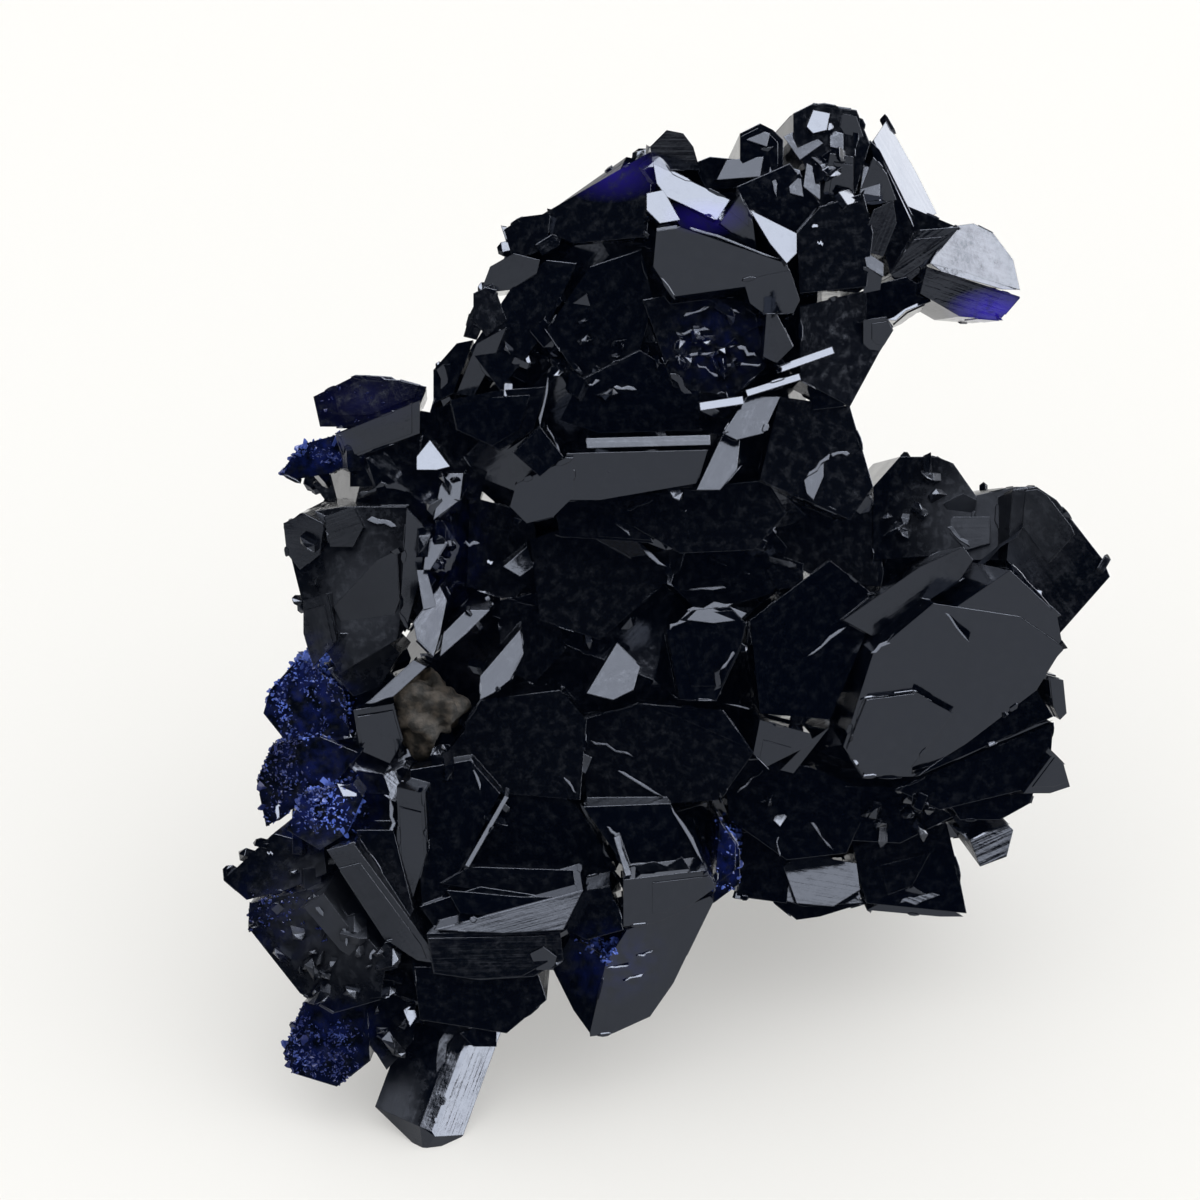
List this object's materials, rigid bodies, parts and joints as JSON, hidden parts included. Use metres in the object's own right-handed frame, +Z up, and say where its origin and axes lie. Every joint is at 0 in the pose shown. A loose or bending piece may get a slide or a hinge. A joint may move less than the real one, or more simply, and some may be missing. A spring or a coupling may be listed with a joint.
{
  "type": "azurite mineral specimen",
  "caption": "Display specimen of azurite: intergrown blue-black bladed crystals with blue crystal crusts at the edges and a scrap of brown limonite, standing on crystal tips.",
  "frame": {"origin": "bottom centre of the bounding box, on the surface the specimen stands on", "axes": "+Z up, +X to the right and -Y toward the viewer, as the specimen is shown"},
  "size_m": [0.0266, 0.0228, 0.027],
  "materials": {
    "azurite": "glassy crystal faces, blue-black, blue where thin or finely crusted",
    "limonite": "earthy and dull"
  },
  "bodies": {
    "root": {"azurite_crystals": "azurite", "limonite": "limonite"}
  },
  "joints": []
}
